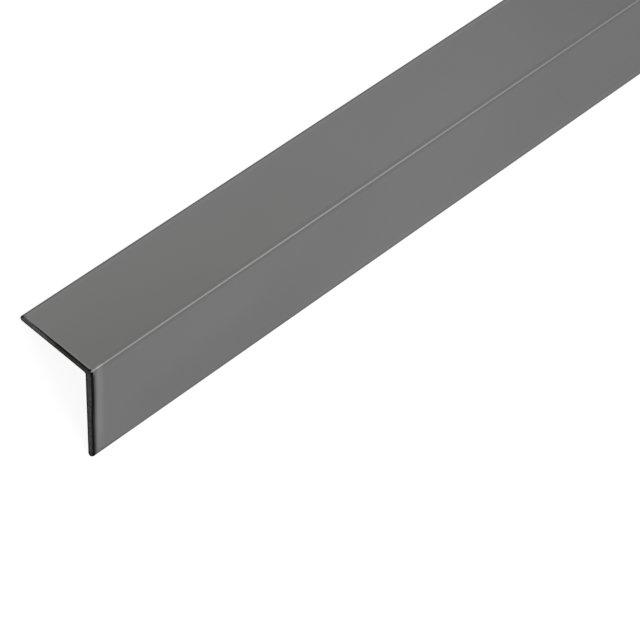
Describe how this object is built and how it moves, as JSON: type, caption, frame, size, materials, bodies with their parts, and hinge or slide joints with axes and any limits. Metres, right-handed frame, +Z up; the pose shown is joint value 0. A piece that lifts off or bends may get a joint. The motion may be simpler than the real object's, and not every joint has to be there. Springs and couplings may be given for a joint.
{
  "type": "metal angle section",
  "caption": "Straight length of unequal-leg metal angle section, with flat legs, a square heel, rounded toes and square-cut ends.",
  "frame": {"origin": "centre of the bounding box, on the floor plane that both toes rest on", "axes": "+X along the bar from the near cut end to the far one, +Y towards the short leg's toe, +Z up through the heel"},
  "size_m": [1, 0.0304, 0.0166],
  "materials": {
    "steel": "drawn, satin dark grey, with fine lengthwise draw lines and darker sawn ends"
  },
  "bodies": {
    "root": {"angle_section": "steel"}
  },
  "joints": []
}
